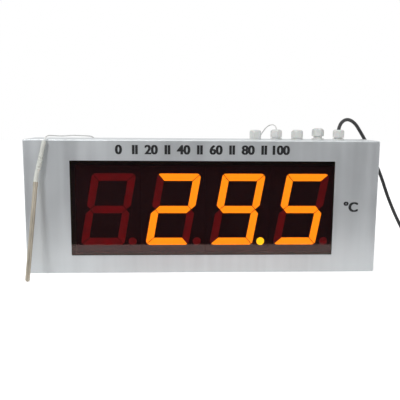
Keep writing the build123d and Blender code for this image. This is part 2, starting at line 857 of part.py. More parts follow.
def build_small_parts():
    with BuildPart() as capacitors:
        for x, z, diameter, height in capacitor_sizes:
            with BuildSketch(face_plane(control_board_front_y)):
                with Locations(on_board((x, z))):
                    Circle(diameter / 2)
            extrude(amount=height)
        ends = capacitors.faces().filter_by(Axis.Y)
        free_y = control_board_front_y - capacitor_edge
        fillet([face.edges() for face in ends if face.center().Y < free_y], capacitor_edge)
    save(capacitors, "capacitors")

    chip = leaded_chip(
        chip_length, chip_width, chip_height, chip_standing, chip_leads, chip_lead_pitch, chip_lead_width,
        chip_lead_reach,
    )
    x, z = on_board(chip_place)
    with BuildPart() as controller_chip:
        with Locations((x, control_board_front_y, z)):
            add(chip.part)
    save(controller_chip, "controller_chip")

    x, z = on_board(heat_sink_place)
    back_z = z - heat_sink_height / 2
    fin_pitch = (heat_sink_width - fin_thickness) / (heat_sink_fins - 1)
    with BuildPart() as heat_sink:
        with BuildSketch(face_plane(control_board_front_y)):
            with Locations((x, back_z + heat_sink_back / 2)):
                Rectangle(heat_sink_width, heat_sink_back)
            with Locations((x, z)):
                with GridLocations(fin_pitch, 1, heat_sink_fins, 1):
                    Rectangle(fin_thickness, heat_sink_height)
        extrude(amount=heat_sink_depth)
    save(heat_sink, "heat_sink")

    with BuildPart() as regulator:
        with BuildSketch(face_plane(control_board_front_y)):
            with Locations((x, back_z - regulator_height / 2)):
                Rectangle(regulator_width, regulator_height)
        extrude(amount=regulator_depth)
        chamfer(regulator.faces().sort_by(Axis.Z)[0].edges(), regulator_height / 6)
    save(regulator, "regulator")

    with BuildPart() as fuse_holder:
        with BuildSketch(face_plane(control_board_front_y)):
            with Locations(on_board(fuse_place)):
                RectangleRounded(fuse_length, fuse_width, fuse_width / 6)
        extrude(amount=fuse_depth)
        with BuildSketch(face_plane(control_board_front_y - fuse_depth)):
            with Locations(on_board(fuse_place)):
                SlotOverall(fuse_length - fuse_cap_depth, fuse_width - fuse_cap_depth)
        extrude(amount=fuse_cap_depth)
    save(fuse_holder, "fuse_holder")


def build_ribbon():
    """A header on each board and the ribbon that rises from one, turns over and goes down into the other."""
    display_middle_y = display_board_back_y + header_depth / 2
    control_middle_y = control_board_front_y - header_depth / 2
    header_top_z = ribbon_header_z + header_height / 2
    with BuildPart() as headers:
        for board_y, towards_front in ((display_board_back_y, -1), (control_board_front_y, 1)):
            with BuildSketch(face_plane(board_y)):
                with Locations((ribbon_x, ribbon_header_z)):
                    Rectangle(header_width, header_height)
            extrude(amount=towards_front * header_depth)
    save(headers, "ribbon_headers")

    with BuildPart() as ribbon:
        with BuildLine(Plane.YZ.offset(ribbon_x)) as path:
            rise = Line((display_middle_y, header_top_z), (display_middle_y, header_top_z + ribbon_rise))
            turn = TangentArc(rise @ 1, (control_middle_y, header_top_z + ribbon_rise), tangent=rise % 1)
            Line(turn @ 1, (control_middle_y, header_top_z))
        with BuildSketch(Plane.XY.offset(header_top_z)):
            with Locations((ribbon_x, display_middle_y)):
                Rectangle(ribbon_width, ribbon_thickness)
        sweep(path=path.line)
    save(ribbon, "ribbon_cable")


def build_gland_bodies():
    """Gland bodies with a hexagonal flange, a threaded neck, slotted claws and a stem through the wall."""
    stem_bottom_z = case_height - gland_stem_length
    thread_radius = gland_thread_diameter / 2
    with BuildPart() as body:
        with BuildSketch(Plane.XY.offset(case_height)):
            RegularPolygon(gland_flange_flats / 2, 6, major_radius=False)
        extrude(amount=gland_flange_height)
        with BuildSketch(Plane.XY.offset(stem_bottom_z)):
            Circle(thread_radius)
        extrude(amount=neck_top_z - stem_bottom_z)
        with BuildSketch(Plane.XZ):
            with BuildLine():
                Polyline(
                    (gland_bore / 2, neck_top_z),
                    (thread_radius - claw_taper / 2, neck_top_z),
                    (thread_radius - claw_taper, claw_top_z),
                    (gland_bore / 2, claw_top_z),
                    close=True,
                )
            make_face()
        revolve(axis=Axis.Z)
        with BuildSketch(Plane.XY.offset(seal_ledge_z)):
            Circle(gland_bore / 2)
        extrude(amount=claw_top_z - seal_ledge_z, mode=Mode.SUBTRACT)
        with BuildSketch(Plane.XY.offset(stem_bottom_z)):
            Circle(gland_stem_bore / 2)
        extrude(amount=claw_top_z - stem_bottom_z, mode=Mode.SUBTRACT)
        with BuildSketch(Plane.XY.offset(neck_top_z)):
            with PolarLocations(thread_radius, claw_count):
                Rectangle(gland_thread_diameter / 2, claw_slot)
        extrude(amount=claw_height, mode=Mode.SUBTRACT)
    with BuildPart() as bodies:
        with Locations(*[Location((x, 0, 0), (0, 0, turned)) for x, turned in zip(gland_x, gland_turned)]):
            add(body.part)
    save(bodies, "gland_bodies")

    with BuildPart() as locknuts:
        with BuildSketch(Plane.XY.offset(top_inside_z)):
            with Locations(*[(x, 0) for x in gland_x]):
                RegularPolygon(locknut_flats / 2, 6, major_radius=False)
                Circle((gland_thread_diameter + locknut_clearance) / 2, mode=Mode.SUBTRACT)
        extrude(amount=-locknut_height)
    save(locknuts, "gland_locknuts")


def build_cap_nut(index):
    """Cap nut: a hexagon cut by a dome, bored for the neck and closing over the claws to its mouth."""
    x = gland_x[index]
    bottom = cap_seat_z + gland_turns_open[index] * gland_pitch
    top = bottom + cap_height
    corner_reach = cap_flats / sqrt(3)
    section = Plane(origin=(x, 0, 0), x_dir=(1, 0, 0), z_dir=(0, -1, 0))
    upright = Axis((x, 0, 0), (0, 0, 1))
    with BuildPart() as cap:
        with BuildSketch(Plane.XY.offset(bottom)):
            with Locations((x, 0)):
                RegularPolygon(cap_flats / 2, 6, major_radius=False, rotation=gland_turned[index])
        extrude(amount=cap_height)
        with BuildSketch(section):
            with BuildLine():
                side = Line((corner_reach, bottom), (corner_reach, bottom + cap_shoulder))
                dome = TangentArc(side @ 1, (cap_top_radius, top), tangent=(0, 1))
                Polyline(dome @ 1, (0, top), (0, bottom), side @ 0)
            make_face()
        revolve(axis=upright, mode=Mode.INTERSECT)
        with BuildSketch(section):
            with BuildLine():
                Polyline(
                    (0, bottom),
                    (cap_bore / 2, bottom),
                    (cap_bore / 2, bottom + cap_bore_height),
                    (cap_mouth / 2, top - cap_mouth_wall),
                    (cap_mouth / 2, top),
                    (0, top),
                    close=True,
                )
            make_face()
        revolve(axis=upright, mode=Mode.SUBTRACT)
    save(cap, f"gland_nut_{index + 1}")


def build_seal(index):
    """Rubber seal in the claws, drawn up with its cap nut as far as that one is unscrewed."""
    lift = gland_turns_open[index] * gland_pitch
    with BuildPart() as seal:
        with BuildSketch(Plane.XY.offset(seal_bottom_z + lift)):
            with Locations((gland_x[index], 0)):
                Circle((gland_bore - seal_clearance) / 2)
        extrude(amount=claw_top_z - seal_bottom_z)
        chamfer(seal.faces().sort_by(Axis.Z)[-1].edges(), seal_lead_in)
        with BuildSketch(Plane.XY.offset(seal_bottom_z + lift)):
            with Locations((gland_x[index], 0)):
                Circle(seal_bore / 2)
        extrude(amount=claw_top_z - seal_bottom_z, mode=Mode.SUBTRACT)
    save(seal, f"gland_seal_{index + 1}")


def tail_route(start_x, block, steps):
    """A cord's way inside the case, from its gland down and across to above its terminal block."""
    end_x = control_board_x + terminal_poles[block][0]
    end_y = control_board_front_y - terminal_depth / 2
    across = [(start_x + share * (end_x - start_x), share * end_y, case_height - drop) for share, drop in steps]
    return (
        (start_x, 0.0, seal_bottom_z),
        (start_x, 0.0, case_height - tail_start_drop),
        *across,
        (end_x, end_y, terminal_top_z + tail_end_rise),
        (end_x, end_y, terminal_top_z),
    )


def build_tails():
    """The cords inside the case, from their glands down to the terminal blocks."""
    mains_tail_route = tail_route(gland_x[mains_gland], "mains", mains_tail_steps)
    save(cord_tube("mains_tail", mains_tail_route, mains_diameter), "mains_tail")
    sensor_tail_route = tail_route(gland_x[lead_gland], "sensor", sensor_tail_steps)
    save(cord_tube("sensor_tail", sensor_tail_route, lead_diameter), "sensor_tail")


def build_mains_cord():
    """The free mains cord, over to the right and down to its coil on the table."""
    entry_x = coil_centre_x - coil_stub
    entry_y = coil_centre_y + coil_outer_turn
    last_run = ((entry_x - coil_lead_run, entry_y, coil_low_z), (entry_x, entry_y, coil_low_z))
    route = ((gland_x[mains_gland], 0.0, seal_bottom_z), *mains_route, *last_run)
    save(cord_tube("mains_cord", route, mains_diameter), "mains_cord")


def build_coil():
    """The coil's outer shape, with a straight end for the cord at the back and one for the plug."""
    band = coil_columns * mains_diameter + 2 * coil_margin
    height = coil_layers * mains_diameter + 2 * coil_margin
    with BuildPart() as coil:
        with BuildSketch(Plane.XZ.offset(-coil_centre_y)):
            with Locations((coil_centre_x + coil_middle_radius, height / 2)):
                RectangleRounded(band, height, coil_edge)
        revolve(axis=Axis((coil_centre_x, coil_centre_y, 0), (0, 0, 1)))
        with BuildSketch(Plane.YZ.offset(coil_centre_x - coil_stub)):
            with Locations((coil_centre_y + coil_outer_turn, coil_low_z)):
                Circle(mains_diameter / 2)
        extrude(amount=coil_stub)
        with BuildSketch(Plane.XZ.offset(coil_stub - coil_centre_y)):
            with Locations((coil_centre_x + coil_outer_turn, coil_high_z)):
                Circle(mains_diameter / 2)
        extrude(amount=-coil_stub)
    save(coil, "mains_coil")


def build_plug():
    """Moulded plug in line with the coil's end, lying on its back with the three pins up."""
    x = coil_centre_x + coil_outer_turn
    neck_y = coil_centre_y - coil_stub
    body_y = neck_y - plug_neck_length
    live_y = body_y - live_pin_setback
    pins = [(x + side * live_pin_spread / 2, live_y, live_pin_diameter, live_pin_length) for side in (-1, 1)]
    pins.append((x, live_y - earth_pin_offset, earth_pin_diameter, earth_pin_length))
    with BuildPart() as plug:
        with BuildSketch() as outline:
            with BuildLine():
                Polyline(
                    (x - plug_nose_width / 2, body_y),
                    (x + plug_nose_width / 2, body_y),
                    (x + plug_width / 2, body_y - plug_shoulder),
                    (x + plug_width / 2, body_y - plug_length),
                    (x - plug_width / 2, body_y - plug_length),
                    (x - plug_width / 2, body_y - plug_shoulder),
                    close=True,
                )
            make_face()
            fillet(outline.vertices(), plug_round)
        extrude(amount=plug_height)
        fillet(plug.faces().sort_by(Axis.Z)[-1].edges(), plug_edge)
        with BuildSketch(Plane.XZ.offset(-neck_y)):
            with Locations((x, coil_high_z)):
                Circle(plug_neck_narrow / 2)
        with BuildSketch(Plane.XZ.offset(-body_y)):
            with Locations((x, coil_high_z)):
                Circle(plug_neck_wide / 2)
        loft()
        for pin_x, pin_y, diameter, _ in pins:
            with BuildSketch(Plane.XY.offset(plug_height)):
                with Locations((pin_x, pin_y)):
                    Circle(diameter / 2 + pin_seat_clearance)
            extrude(amount=-pin_seat_depth, mode=Mode.SUBTRACT)
    save(plug, "plug_body")

    with BuildPart() as plug_pins:
        for pin_x, pin_y, diameter, length in pins:
            with BuildSketch(Plane.XY.offset(plug_height - pin_seat_depth)):
                with Locations((pin_x, pin_y)):
                    Circle(diameter / 2)
            extrude(amount=pin_seat_depth + length)
            fillet(plug_pins.faces(Select.LAST).sort_by(Axis.Z)[-1].edges(), pin_round)
    save(plug_pins, "plug_pins")


def build_sensor_lead():
    """The free sensor lead; its last run lies along the axis of the probe's sleeve."""
    sleeve_down = (Vector(*probe_join) - Vector(*probe_top)).normalized()
    before_end = Vector(*probe_top) - sleeve_down * lead_end_run
    start = (gland_x[lead_gland], 0.0, seal_bottom_z)
    route = (start, *lead_route, tuple(before_end), probe_top)
    save(cord_tube("sensor_lead", route, lead_diameter), "sensor_lead")


def build_probe():
    """Steel sheath with a round tip and a crimped ferrule, and the sleeve that leads into it."""
    foot = Vector(*probe_foot)
    join = Vector(*probe_join)
    upward = (join - foot).normalized()
    with BuildPart() as sheath:
        with BuildSketch(Plane(origin=foot, z_dir=upward)):
            Circle(sheath_diameter / 2)
        extrude(amount=(join - foot).length)
        with Locations(foot):
            Sphere(sheath_diameter / 2)
        with BuildSketch(Plane(origin=join - upward * ferrule_length, z_dir=upward)):
            Circle(ferrule_diameter / 2)
        extrude(amount=ferrule_length)
    save(sheath, "probe_sheath")

    bend = join + upward * sleeve_bend_length
    sleeve = cord_tube("probe_sleeve", (probe_top, tuple(bend), probe_join), sleeve_diameter)
    save(sleeve, "probe_sleeve")


def main():
    os.makedirs("parts", exist_ok=True)
    build_case()
    build_studs()
    build_filter()
    build_clips()
    build_modules()
    build_display_board()
    build_rear_cover()
    build_control_board()
    build_transformer()
    build_relays()
    build_terminals()
    build_small_parts()
    build_ribbon()
    build_gland_bodies()
    for index in range(len(gland_x)):
        build_cap_nut(index)
        build_seal(index)
    build_tails()
    build_mains_cord()
    build_coil()
    build_plug()
    build_sensor_lead()
    build_probe()


main()
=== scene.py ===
"""The looks of a large-display temperature controller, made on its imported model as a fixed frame."""

import json
import math

import bmesh
import bpy
from mathutils import Matrix, Vector

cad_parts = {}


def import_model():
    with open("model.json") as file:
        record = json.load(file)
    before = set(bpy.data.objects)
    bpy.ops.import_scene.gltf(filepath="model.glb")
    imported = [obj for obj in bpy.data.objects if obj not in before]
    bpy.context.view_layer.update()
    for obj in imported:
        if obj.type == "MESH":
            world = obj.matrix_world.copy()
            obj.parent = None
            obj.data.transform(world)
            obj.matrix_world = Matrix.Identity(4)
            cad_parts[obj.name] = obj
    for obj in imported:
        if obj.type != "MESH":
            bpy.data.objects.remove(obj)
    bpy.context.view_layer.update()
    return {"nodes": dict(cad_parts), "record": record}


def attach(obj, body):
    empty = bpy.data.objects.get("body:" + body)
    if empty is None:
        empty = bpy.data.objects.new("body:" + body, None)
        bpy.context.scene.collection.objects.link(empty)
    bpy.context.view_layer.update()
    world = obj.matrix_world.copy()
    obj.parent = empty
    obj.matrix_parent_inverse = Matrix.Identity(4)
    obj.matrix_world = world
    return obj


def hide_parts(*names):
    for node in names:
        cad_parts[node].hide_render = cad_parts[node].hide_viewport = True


MM = 0.001

# Camera, found from the corners of the face and of its window
CAMERA_PLACE = Vector((-0.04116, -0.8004, 0.21873))
CAMERA_YAW = 0.04732
CAMERA_PITCH = -0.14887
CAMERA_ROLL = 0.00789
CAMERA_LENS = 50.476
SENSOR_WIDTH = 36.0

# Planes and places on the case, in millimetres
FACE_Y = -32.5
SCALE_MIDDLE = (-5.5, 172.0)
SCALE_SPAN = 221.5
SCALE_STEPS = 5
SCALE_VALUE = 20
SCALE_HEIGHT = 12.5
UNIT_PLACE = (207.3, 92.8)
UNIT_HEIGHT = 13.5
PRINT_THICKNESS = 0.03
PRINT_LAYER_STEP = 0.2
FONT_CAP_HEIGHT = 0.72
INK_SWELL = 0.022
INK_SHIFT = 0.034
FIRST_GLAND_X = 75.0
GLAND_PITCH = 30.0
THREAD_PITCH = 1.5
LIT_POINT = (81.3, 43.9)
LIT_POINT_REACH = 7.5

# Mains cord: the route of its free run, then a coil wound on the table
CORD_DIAMETER = 5.0
MAINS_START = (195.0, 0.0, 188.0)
MAINS_ROUTE = (
    (195.0, 0.0, 196.0),
    (195.0, 0.0, 202.5),
    (198.7, 2.6, 210.2),
    (205.6, 7.0, 214.9),
    (215.2, 14.5, 215.0),
    (226.4, 22.4, 209.0),
    (237.0, 31.5, 197.5),
    (249.4, 40.5, 182.5),
    (264.4, 47.5, 158.5),
    (280.3, 52.0, 128.5),
    (293.4, 56.5, 97.5),
    (309.3, 60.5, 66.0),
    (324.5, 62.5, 40.0),
    (334.5, 62.3, 20.4),
    (345.6, 61.8, 10.4),
    (362.7, 62.0, 2.8),
    (377.7, 62.0, 2.8),
)
COIL_CENTRE = (400.0, 27.0)
COIL_RADII = (35.0, 30.0, 25.0, 20.0)
COIL_LAYERS = (2.8, 7.8)
COIL_POINTS = 16
COIL_CROSSING = 3
COIL_LAST_TURN = 1.25
COIL_STUB_END = (435.0, 2.0, 7.8)

# Sensor lead, from the second gland over and behind the case to the probe
LEAD_DIAMETER = 1.6
LEAD_START = (105.0, 0.0, 188.0)
LEAD_ROUTE = (
    (105.0, 0.0, 196.0),
    (105.1, 0.3, 203.0),
    (102.0, 2.2, 207.4),
    (96.6, 7.4, 206.7),
    (92.2, 14.5, 202.6),
    (89.0, 23.0, 196.1),
    (86.5, 32.0, 189.6),
    (83.5, 41.0, 181.0),
    (79.5, 42.5, 163.0),
    (70.5, 43.0, 138.0),
    (54.0, 42.5, 112.0),
    (30.0, 43.0, 92.0),
    (0.0, 42.5, 79.5),
    (-34.0, 43.0, 75.5),
    (-67.0, 42.5, 80.5),
    (-96.0, 43.0, 93.0),
    (-120.0, 42.5, 113.5),
    (-137.5, 43.0, 138.5),
    (-148.0, 42.5, 162.0),
    (-154.5, 41.5, 180.0),
    (-160.5, 33.5, 188.2),
    (-169.5, 19.5, 189.1),
    (-184.0, 4.5, 190.4),
    (-196.5, -10.5, 189.4),
    (-206.0, -23.5, 190.8),
)
LEAD_END_RUN = 7.0

# Probe
PROBE_TOP = Vector((-214.7, -36.6, 184.2))
PROBE_JOIN = Vector((-226.2, -43.5, 129.2))
SLEEVE_DIAMETER = 5.8
RIB_DIAMETER = 6.9
RIB_LENGTH = 2.2
RIB_PITCH = 4.2
RIB_COUNT = 5
FIRST_RIB = 21.5
RIB_SINK = 0.1
RIB_SIDES = 32

# Coil tie, a thin band round the wound turns
TIE_WIDTH = 5.0
TIE_THICKNESS = 0.3
TIE_ANGLE = -90.0
TIE_CORNER_STEPS = 6

# Colours and glows; the tints bring a slot's colour to the one in the photograph
CASE_TINT = (0.98, 1.0, 1.015)
GLAND_TINT = (0.81, 0.81, 0.8)
PROBE_TINT = (0.84, 0.79, 0.69)
SLEEVE_TINT = (0.88, 0.9, 0.87)
MODULE_DARKENING = 0.35
PRINT_COLOUR = (0.012, 0.012, 0.014)
WINDOW_COLOUR = (0.74, 0.26, 0.22, 1.0)
WINDOW_LAMP_COLOUR = (0.86, 0.51, 0.47, 1.0)
BAR_GLOW = (1.0, 0.83, 0.01)
POINT_GLOW = (1.0, 1.9, 0.03)
GLOW_STRENGTH = 1.45
DIM_BARS = ((0.115, 0.006, 0.022), (0.17, 0.01, 0.031))

# Stage, in metres: outlines as (y, z), and the glow of the floor near the part, far off and in mirrors
FLOOR_PROFILE = ((-3.0, -0.0005), (4.0, -0.0005))
FLOOR_HALF_WIDTH = 4.0
FLOOR_COLOUR = (0.8, 0.8, 0.8, 1.0)
FLOOR_GLOW_REACH = (0.5, 1.5)
FLOOR_GLOW_NEAR = 0.58
FLOOR_GLOW_FAR = 0.72
FLOOR_GLOW_MIRRORED = 0.34
CARD_PROFILE = ((-0.201, 0.0005), (-2.4, 0.0005), (-2.6, 0.9))
CARD_HALF_WIDTH = 2.5
CARD_COLOUR = (0.045, 0.04, 0.055, 1.0)

# Light: the strength of the world, what is added where it is seen, and the mirrored share of that;
# each lamp has a name, a place and a size in metres, and a power
WORLD_LIGHT = 0.38
WORLD_SEEN = 0.62
WORLD_MIRRORED_SHARE = 0.72
LAMPS_AIM = (0.0, 0.0, 0.1)
LAMPS = (
    ("key", (-0.85, -1.3, 1.3), 0.42, 16.7),
    ("fill", (1.4, -1.0, 0.9), 1.2, 4.5),
    ("top", (0.0, 0.3, 2.0), 1.2, 9.0),
)


def new_tree(name):
    """A material, its node tree and its Principled shader."""
    material = bpy.data.materials.new(name)
    material.use_nodes = True
    tree = material.node_tree
    return material, tree, tree.nodes["Principled BSDF"]


def link(tree, source, target):
    """Joins an output to an input."""
    tree.links.new(source, target)


def place_in_object(tree, stretch=(1.0, 1.0, 1.0)):
    """Object coordinates, in metres, stretched along the three axes."""
    coordinates = tree.nodes.new("ShaderNodeTexCoord")
    mapping = tree.nodes.new("ShaderNodeMapping")
    mapping.inputs["Scale"].default_value = stretch
    link(tree, coordinates.outputs["Object"], mapping.inputs["Vector"])
    return mapping.outputs["Vector"]


def noise(tree, scale, detail=3.0, stretch=(1.0, 1.0, 1.0)):
    """Soft noise over the object, from 0 to 1."""
    texture = tree.nodes.new("ShaderNodeTexNoise")
    texture.inputs["Scale"].default_value = scale
    texture.inputs["Detail"].default_value = detail
    link(tree, place_in_object(tree, stretch), texture.inputs["Vector"])
    return texture.outputs["Fac"]


def between(tree, factor, low, high, start=0.3, stop=0.7):
    """Maps factor from start...stop to low...high."""
    ranged = tree.nodes.new("ShaderNodeMapRange")
    ranged.inputs["From Min"].default_value = start
    ranged.inputs["From Max"].default_value = stop
    ranged.inputs["To Min"].default_value = low
    ranged.inputs["To Max"].default_value = high
    link(tree, factor, ranged.inputs["Value"])
    return ranged.outputs["Result"]


def colours(tree, factor, low, high, start=0.3, stop=0.7):
    """Blends from colour low to colour high as factor goes from start to stop."""
    ramp = tree.nodes.new("ShaderNodeValToRGB")
    first, last = ramp.color_ramp.elements
    first.position, last.position = start, stop
    first.color, last.color = (*low, 1.0), (*high, 1.0)
    link(tree, factor, ramp.inputs["Fac"])
    return ramp.outputs["Color"]


def math_node(tree, operation, first, second=None):
    """One sum of a node tree; each side is an output or a plain number."""
    node = tree.nodes.new("ShaderNodeMath")
    node.operation = operation
    for socket, value in zip(node.inputs, (first, second)):
        if isinstance(value, bpy.types.NodeSocket):
            link(tree, value, socket)
        elif value is not None:
            socket.default_value = value
    return node.outputs["Value"]


def bump(tree, shader, height, distance, strength):
    """Fine relief, without any change of the shape; the distance is in metres."""
    node = tree.nodes.new("ShaderNodeBump")
    node.inputs["Distance"].default_value = distance
    node.inputs["Strength"].default_value = strength
    link(tree, height, node.inputs["Height"])
    link(tree, node.outputs["Normal"], shader.inputs["Normal"])


def shade(colour, factor):
    """A colour made darker or lighter."""
    return tuple(channel * factor for channel in colour)


def tint(colour, factors):
    """A colour with each channel scaled on its own."""
    return tuple(channel * factor for channel, factor in zip(colour, factors))


def satin_sheet(name, colour):
    """Satin silver sheet: faint upright streaks and a soft mottle painted into its colour as
    reflections, which also vary its roughness, and a fine grain.
    """
    material, tree, shader = new_tree(name)
    # Painted reflection: upright streaks and a soft mottle that lighten and darken the base colour;
    # the same pattern also sets the roughness
    painted_reflection_streaks = math_node(tree, "MULTIPLY", noise(tree, 60.0, 2.0, (1.0, 1.0, 0.06)), 0.6)
    painted_reflection_mottle = math_node(tree, "MULTIPLY", noise(tree, 14.0, 4.0), 0.4)
    painted_reflection_and_roughness = math_node(tree, "ADD", painted_reflection_streaks, painted_reflection_mottle)
    tone = colours(tree, painted_reflection_and_roughness, shade(colour, 0.9), shade(colour, 1.06))
    link(tree, tone, shader.inputs["Base Color"])
    link(tree, between(tree, painted_reflection_and_roughness, 0.36, 0.5), shader.inputs["Roughness"])
    shader.inputs["Metallic"].default_value = 0.6
    bump(tree, shader, noise(tree, 2600.0, 2.0, (1.0, 1.0, 0.25)), 0.00002, 0.35)
    return material


def bright_metal(name, colour, roughness=0.28):
    """Plated or turned metal with a soft mottle."""
    material, tree, shader = new_tree(name)
    mottle = noise(tree, 260.0, 3.0)
    link(tree, colours(tree, mottle, shade(colour, 0.82), colour), shader.inputs["Base Color"])
    link(tree, between(tree, mottle, roughness, roughness + 0.16), shader.inputs["Roughness"])
    shader.inputs["Metallic"].default_value = 1.0
    bump(tree, shader, noise(tree, 1800.0, 2.0), 0.00002, 0.3)
    return material


def moulded(name, colour, roughness=0.45, grain=1500.0, depth=0.00003, specular=0.5):
    """Moulded plastic: a slight drift of colour and gloss and a fine eroded grain."""
    material, tree, shader = new_tree(name)
    shader.inputs["Specular IOR Level"].default_value = specular
    drift = noise(tree, 90.0, 3.0)
    tone = colours(tree, drift, shade(colour, 0.88), shade(colour, 1.05))
    link(tree, tone, shader.inputs["Base Color"])
    link(tree, between(tree, drift, roughness - 0.05, roughness + 0.08), shader.inputs["Roughness"])
    bump(tree, shader, noise(tree, grain, 2.0), depth, 0.4)
    return material


def gland_nylon(name, colour):
    """White moulded nylon with the screw thread of the gland necks as a helix under each cap nut."""
    material, tree, shader = new_tree(name)
    shader.inputs["Roughness"].default_value = 0.42
    shader.inputs["Subsurface Weight"].default_value = 0.08
    shader.inputs["Subsurface Scale"].default_value = 0.002
    drift = noise(tree, 120.0, 3.0)
    link(tree, colours(tree, drift, shade(colour, 0.93), colour), shader.inputs["Base Color"])
    coordinates = tree.nodes.new("ShaderNodeTexCoord")
    split = tree.nodes.new("ShaderNodeSeparateXYZ")
    link(tree, coordinates.outputs["Object"], split.inputs["Vector"])
    pitch = GLAND_PITCH * MM
    from_left = math_node(tree, "SUBTRACT", split.outputs["X"], FIRST_GLAND_X * MM - pitch / 2)
    in_gland = math_node(tree, "SUBTRACT", math_node(tree, "MODULO", from_left, pitch), pitch / 2)
    angle = math_node(tree, "ARCTAN2", split.outputs["Y"], in_gland)
    turn = math_node(tree, "DIVIDE", angle, 2 * math.pi)
    rise = math_node(tree, "DIVIDE", split.outputs["Z"], THREAD_PITCH * MM)
    ridge = math_node(tree, "PINGPONG", math_node(tree, "SUBTRACT", rise, turn), 0.5)
    bump(tree, shader, ridge, 0.0006, 0.9)
    return material


def cap_nylon(name, colour):
    """The cap nuts' nylon: smooth and slightly waxy."""
    material, tree, shader = new_tree(name)
    drift = noise(tree, 150.0, 3.0)
    shader.inputs["Subsurface Weight"].default_value = 0.1
    shader.inputs["Subsurface Scale"].default_value = 0.002
    link(tree, colours(tree, drift, shade(colour, 0.94), colour), shader.inputs["Base Color"])
    link(tree, between(tree, drift, 0.3, 0.42), shader.inputs["Roughness"])
    bump(tree, shader, noise(tree, 900.0, 2.0), 0.00002, 0.3)
    return material


def tinted_acrylic(name):
    """Polished dark red acrylic; lamp light goes through it, tinted, to what lies behind."""
    material, tree, shader = new_tree(name)
    shader.inputs["Base Color"].default_value = WINDOW_COLOUR
    shader.inputs["Transmission Weight"].default_value = 1.0
    shader.inputs["IOR"].default_value = 1.49
    shader.inputs["Specular IOR Level"].default_value = 0.42
    link(tree, between(tree, noise(tree, 9.0, 3.0), 0.01, 0.07), shader.inputs["Roughness"])
    bump(tree, shader, noise(tree, 12.0, 1.0), 0.0001, 0.02)
    path = tree.nodes.new("ShaderNodeLightPath")
    clear = tree.nodes.new("ShaderNodeBsdfTransparent")
    clear.inputs["Color"].default_value = WINDOW_LAMP_COLOUR
    mix = tree.nodes.new("ShaderNodeMixShader")
    link(tree, path.outputs["Is Shadow Ray"], mix.inputs[0])
    link(tree, shader.outputs["BSDF"], mix.inputs[1])
    link(tree, clear.outputs["BSDF"], mix.inputs[2])
    link(tree, mix.outputs["Shader"], tree.nodes["Material Output"].inputs["Surface"])
    return material


def lit_resin(name):
    """Lit segments: an even orange glow on their fronts only, and a yellower decimal point."""
    material, tree, shader = new_tree(name)
    shader.inputs["Base Color"].default_value = (0.8, 0.3, 0.05, 1.0)
    shader.inputs["Roughness"].default_value = 0.35
    coordinates = tree.nodes.new("ShaderNodeTexCoord")
    away = tree.nodes.new("ShaderNodeVectorMath")
    away.operation = "DISTANCE"
    flat = tree.nodes.new("ShaderNodeVectorMath")
    flat.operation = "MULTIPLY"
    flat.inputs[1].default_value = (1.0, 0.0, 1.0)
    link(tree, coordinates.outputs["Object"], flat.inputs[0])
    link(tree, flat.outputs["Vector"], away.inputs[0])
    away.inputs[1].default_value = (LIT_POINT[0] * MM, 0.0, LIT_POINT[1] * MM)
    near = math_node(tree, "LESS_THAN", away.outputs["Value"], LIT_POINT_REACH * MM)
    glow = colours(tree, near, BAR_GLOW, POINT_GLOW, 0.0, 1.0)
    link(tree, glow, shader.inputs["Emission Color"])
    geometry = tree.nodes.new("ShaderNodeNewGeometry")
    split = tree.nodes.new("ShaderNodeSeparateXYZ")
    link(tree, geometry.outputs["Normal"], split.inputs["Vector"])
    faces_front = math_node(tree, "LESS_THAN", split.outputs["Y"], -0.5)
    strength = math_node(tree, "MULTIPLY", faces_front, GLOW_STRENGTH)
    link(tree, strength, shader.inputs["Emission Strength"])
    return material


def dim_resin(name):
    """Unlit segments: dark red diffusing resin."""
    material, tree, shader = new_tree(name)
    drift = noise(tree, 70.0, 3.0)
    tone = colours(tree, drift, *DIM_BARS)
    link(tree, tone, shader.inputs["Base Color"])
    shader.inputs["Roughness"].default_value = 0.4
    bump(tree, shader, noise(tree, 700.0, 2.0), 0.00003, 0.4)
    return material


def solder_mask(name, colour):
    """A printed board: tracks show as slightly raised, lighter lines under the mask."""
    material, tree, shader = new_tree(name)
    tracks = tree.nodes.new("ShaderNodeTexBrick")
    tracks.inputs["Scale"].default_value = 90.0
    tracks.inputs["Mortar Size"].default_value = 0.03
    tracks.inputs["Brick Width"].default_value = 0.9
    tracks.inputs["Color1"].default_value = (*colour, 1.0)
    tracks.inputs["Color2"].default_value = (*shade(colour, 0.85), 1.0)
    tracks.inputs["Mortar"].default_value = (*shade(colour, 1.7), 1.0)
    turned = tree.nodes.new("ShaderNodeVectorRotate")
    turned.rotation_type = "X_AXIS"
    turned.inputs["Angle"].default_value = math.radians(90)
    link(tree, place_in_object(tree), turned.inputs["Vector"])
    link(tree, turned.outputs["Vector"], tracks.inputs["Vector"])
    link(tree, tracks.outputs["Color"], shader.inputs["Base Color"])
    shader.inputs["Roughness"].default_value = 0.3
    bump(tree, shader, tracks.outputs["Fac"], 0.00004, 0.5)
    return material


def laminated(name, colour):
    """A varnished stack of thin steel sheets, lined across its depth."""
    material, tree, shader = new_tree(name)
    waves = tree.nodes.new("ShaderNodeTexWave")
    waves.bands_direction = "Y"
    waves.inputs["Scale"].default_value = 320.0
    waves.inputs["Distortion"].default_value = 0.6
    link(tree, place_in_object(tree), waves.inputs["Vector"])
    tone = colours(tree, waves.outputs["Fac"], shade(colour, 0.6), shade(colour, 1.3))
    link(tree, tone, shader.inputs["Base Color"])
    shader.inputs["Metallic"].default_value = 0.5
    shader.inputs["Roughness"].default_value = 0.4
    bump(tree, shader, waves.outputs["Fac"], 0.0001, 0.6)
    return material


